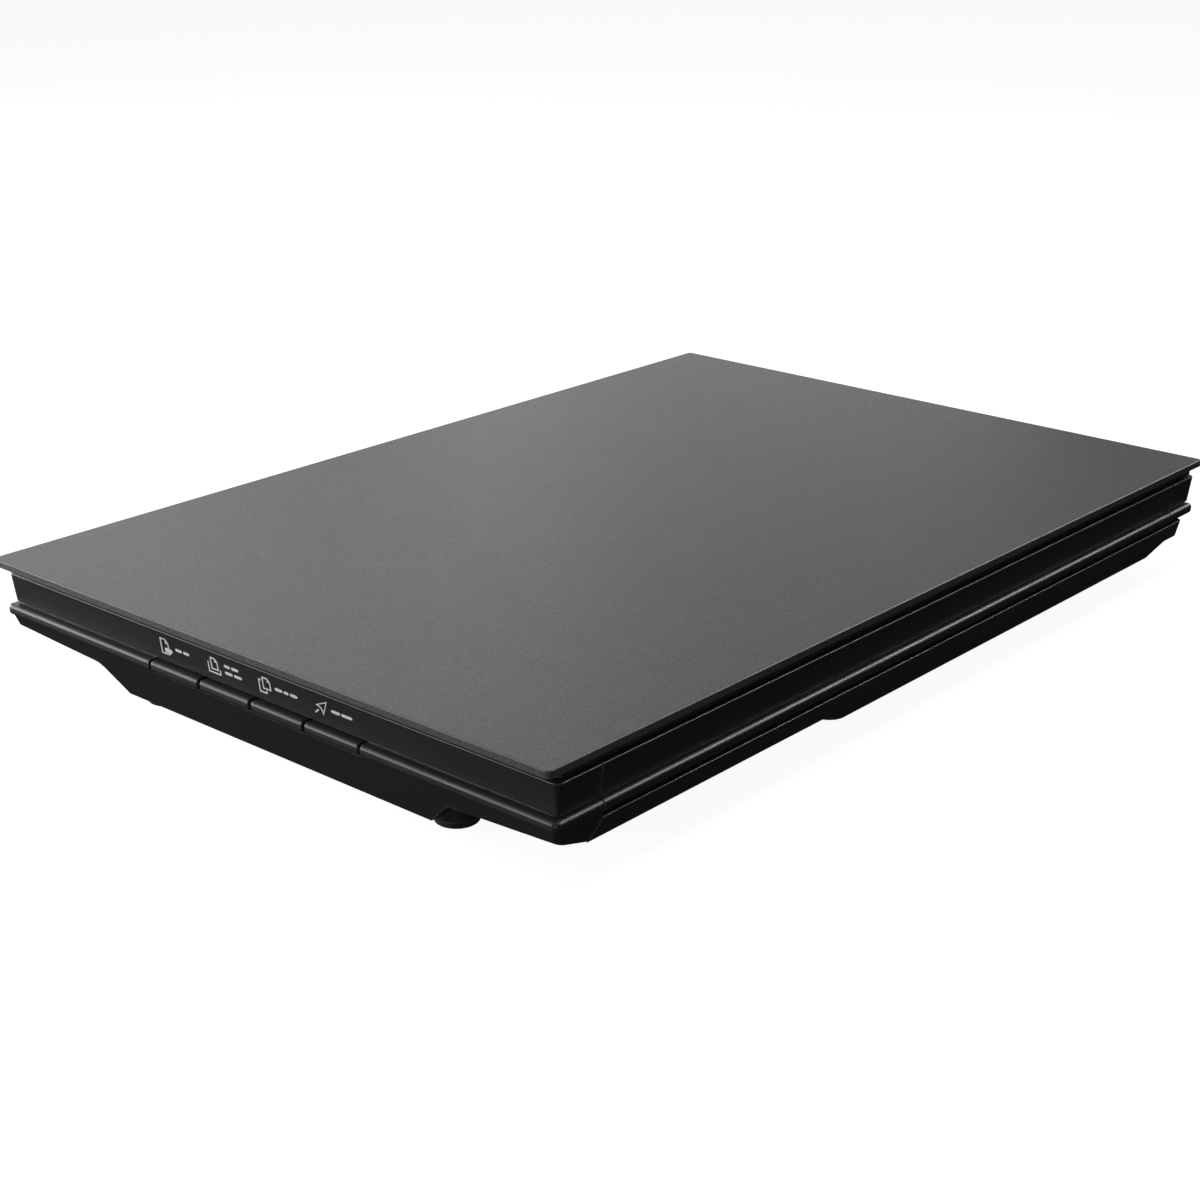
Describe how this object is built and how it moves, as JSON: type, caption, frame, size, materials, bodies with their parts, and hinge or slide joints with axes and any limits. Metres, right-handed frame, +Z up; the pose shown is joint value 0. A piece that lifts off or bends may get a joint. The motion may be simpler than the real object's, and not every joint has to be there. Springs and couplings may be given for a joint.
{
  "type": "flatbed scanner",
  "caption": "Slim flatbed document scanner with a satin flat lid on lifting hinges, a glass bed, a moving sensor carriage and a row of push buttons along the front edge.",
  "frame": {"origin": "on the surface the feet stand on, under the middle of the lid", "axes": "+Z up, +Y from the buttons at the front to the hinges at the rear, +X to the right seen from the front"},
  "size_m": [0.25, 0.367, 0.042],
  "materials": {
    "lid_satin": "fine satin grain",
    "body_black": "semi-matte, fine spark texture",
    "tray_black": "matte",
    "button_black": "satin",
    "foot_rubber": "matte",
    "screw_steel": "zinc plated",
    "platen": "clear, polished",
    "tape_black": "matte",
    "white_strip": "matte white",
    "foam_grey": "open foam",
    "white_sheet": "smooth white film",
    "pin_steel": "ground",
    "leg_black": "acetal",
    "switch_grey": "moulded",
    "board_green": "solder mask",
    "rack_white": "acetal",
    "gear_white": "acetal",
    "carriage_grey": "moulded",
    "bush_brass": "sintered",
    "motor_can": "zinc plated",
    "sensor_black": "moulded",
    "lens_clear": "polished",
    "guide_clear": "polished acrylic",
    "chip_black": "moulded",
    "connector_cream": "moulded",
    "usb_steel": "plated",
    "cable_white": "flat film"
  },
  "bodies": {
    "base": {"upper_frame": "body_black", "front_bezel": "body_black", "rear_cover": "body_black", "bottom_case": "body_black", "rubber_feet": "foot_rubber", "case_screws": "screw_steel", "platen_glass": "platen", "glass_tape": "tape_black", "calibration_strip": "white_strip", "switch_bodies": "switch_grey", "button_board": "board_green", "button_board_screws": "screw_steel", "guide_shaft": "pin_steel", "shaft_clips": "leg_black", "gear_rack": "rack_white", "main_board": "board_green", "board_screws": "screw_steel", "controller_chips": "chip_black", "board_connectors": "connector_cream", "usb_shell": "usb_steel", "usb_tongue": "switch_grey", "flat_cable": "cable_white"},
    "hinge_legs": {"left_hinge_leg": "leg_black", "right_hinge_leg": "leg_black"},
    "lid": {"lid_cover": "lid_satin", "lid_tray": "tray_black", "pad_foam": "foam_grey", "document_pad": "white_sheet", "hinge_pins": "pin_steel"},
    "carriage": {"carriage_frame": "carriage_grey", "carriage_bushes": "bush_brass", "stepper_motor": "motor_can", "motor_screws": "screw_steel", "gear_axle": "pin_steel"},
    "sensor": {"sensor_housing": "sensor_black", "rod_lens_array": "lens_clear", "light_guide": "guide_clear", "sensor_board": "board_green", "sensor_glides": "gear_white", "sensor_springs": "pin_steel"},
    "reduction_wheel": {"reduction_gear": "gear_white"},
    "motor_rotor": {"motor_pinion": "bush_brass"},
    "document_key": {"document_button": "button_black", "document_switch_plunger": "switch_grey"},
    "auto_scan_key": {"auto_scan_button": "button_black", "auto_scan_switch_plunger": "switch_grey"},
    "copy_key": {"copy_button": "button_black", "copy_switch_plunger": "switch_grey"},
    "send_key": {"send_button": "button_black", "send_switch_plunger": "switch_grey"}
  },
  "joints": [
    {"name": "hinge_lift", "type": "slide", "parent": "base", "child": "hinge_legs", "axis": [0, 0, 1], "range_m": [0, 0.012]},
    {"name": "lid_hinge", "type": "hinge", "parent": "hinge_legs", "child": "lid", "pos_m": [0, 0.181, 0.0382], "axis": [-1, 0, 0], "range_deg": [0, 100]},
    {"name": "carriage_slide", "type": "slide", "parent": "base", "child": "carriage", "axis": [0, 1, 0], "range_m": [0, 0.298]},
    {"name": "sensor_float", "type": "slide", "parent": "carriage", "child": "sensor", "axis": [0, 0, 1], "range_m": [-0.0003, 0], "stiffness_N_per_m": 400, "springref_m": 0.004, "deforming": ["sensor_springs"]},
    {"name": "reduction_spin", "type": "hinge", "parent": "carriage", "child": "reduction_wheel", "pos_m": [0.022, -0.148, 0.012], "axis": [0, 0, 1], "continuous": true},
    {"name": "rotor_spin", "type": "hinge", "parent": "carriage", "child": "motor_rotor", "pos_m": [0.0382, -0.148, 0.015], "axis": [0, 0, 1], "continuous": true},
    {"name": "document_press", "type": "slide", "parent": "base", "child": "document_key", "axis": [0, 1, 0], "range_m": [0, 0.0006], "stiffness_N_per_m": 1500, "springref_m": -0.0003},
    {"name": "auto_scan_press", "type": "slide", "parent": "base", "child": "auto_scan_key", "axis": [0, 1, 0], "range_m": [0, 0.0006], "stiffness_N_per_m": 1500, "springref_m": -0.0003},
    {"name": "copy_press", "type": "slide", "parent": "base", "child": "copy_key", "axis": [0, 1, 0], "range_m": [0, 0.0006], "stiffness_N_per_m": 1500, "springref_m": -0.0003},
    {"name": "send_press", "type": "slide", "parent": "base", "child": "send_key", "axis": [0, 1, 0], "range_m": [0, 0.0006], "stiffness_N_per_m": 1500, "springref_m": -0.0003}
  ],
  "couplings": [
    {"joint": "reduction_spin", "follows": "carriage_slide", "rad_per_m": 208.33},
    {"joint": "rotor_spin", "follows": "carriage_slide", "rad_per_m": -729.17}
  ]
}
